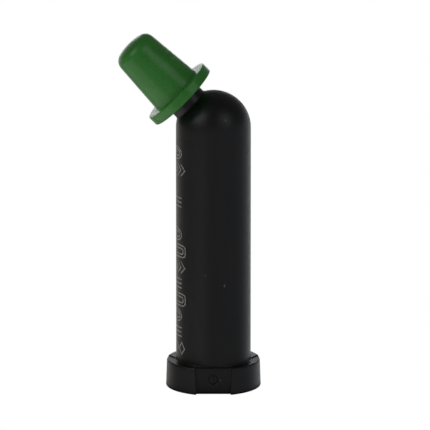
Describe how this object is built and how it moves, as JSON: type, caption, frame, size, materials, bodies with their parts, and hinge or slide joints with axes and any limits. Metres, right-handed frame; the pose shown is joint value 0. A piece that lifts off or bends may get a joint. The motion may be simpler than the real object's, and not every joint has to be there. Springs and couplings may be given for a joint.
{
  "type": "prefilled dental composite capsule",
  "caption": "Small black single-dose capsule with a domed front, an angled nozzle under a push-on green cap, a rear flange and a sliding piston behind the paste.",
  "frame": {"origin": "under the middle of the capsule's bounding box, at the rear face of the flange that it stands on", "axes": "+Z along the barrel from the rear flange to the domed front, -X the side that the nozzle leans to, -Y the side with the gate notch"},
  "size_m": [0.0116, 0.0075, 0.0294],
  "materials": {
    "body_black": "satin",
    "cap_green": "satin",
    "piston_grey": "satin",
    "composite_cream": "stiff paste"
  },
  "bodies": {
    "body": {"capsule_body": "body_black", "composite_charge": "composite_cream", "composite_in_nozzle": "composite_cream"},
    "cap": {"tip_cap": "cap_green"},
    "piston": {"piston": "piston_grey"}
  },
  "joints": [
    {"name": "cap_pull", "type": "slide", "parent": "body", "child": "cap", "axis": [-0.7071, 0, 0.7071], "range_m": [0, 0.01]},
    {"name": "piston_stroke", "type": "slide", "parent": "body", "child": "piston", "axis": [0, 0, 1], "range_m": [0, 0.0061], "deforming": ["composite_charge"]}
  ]
}
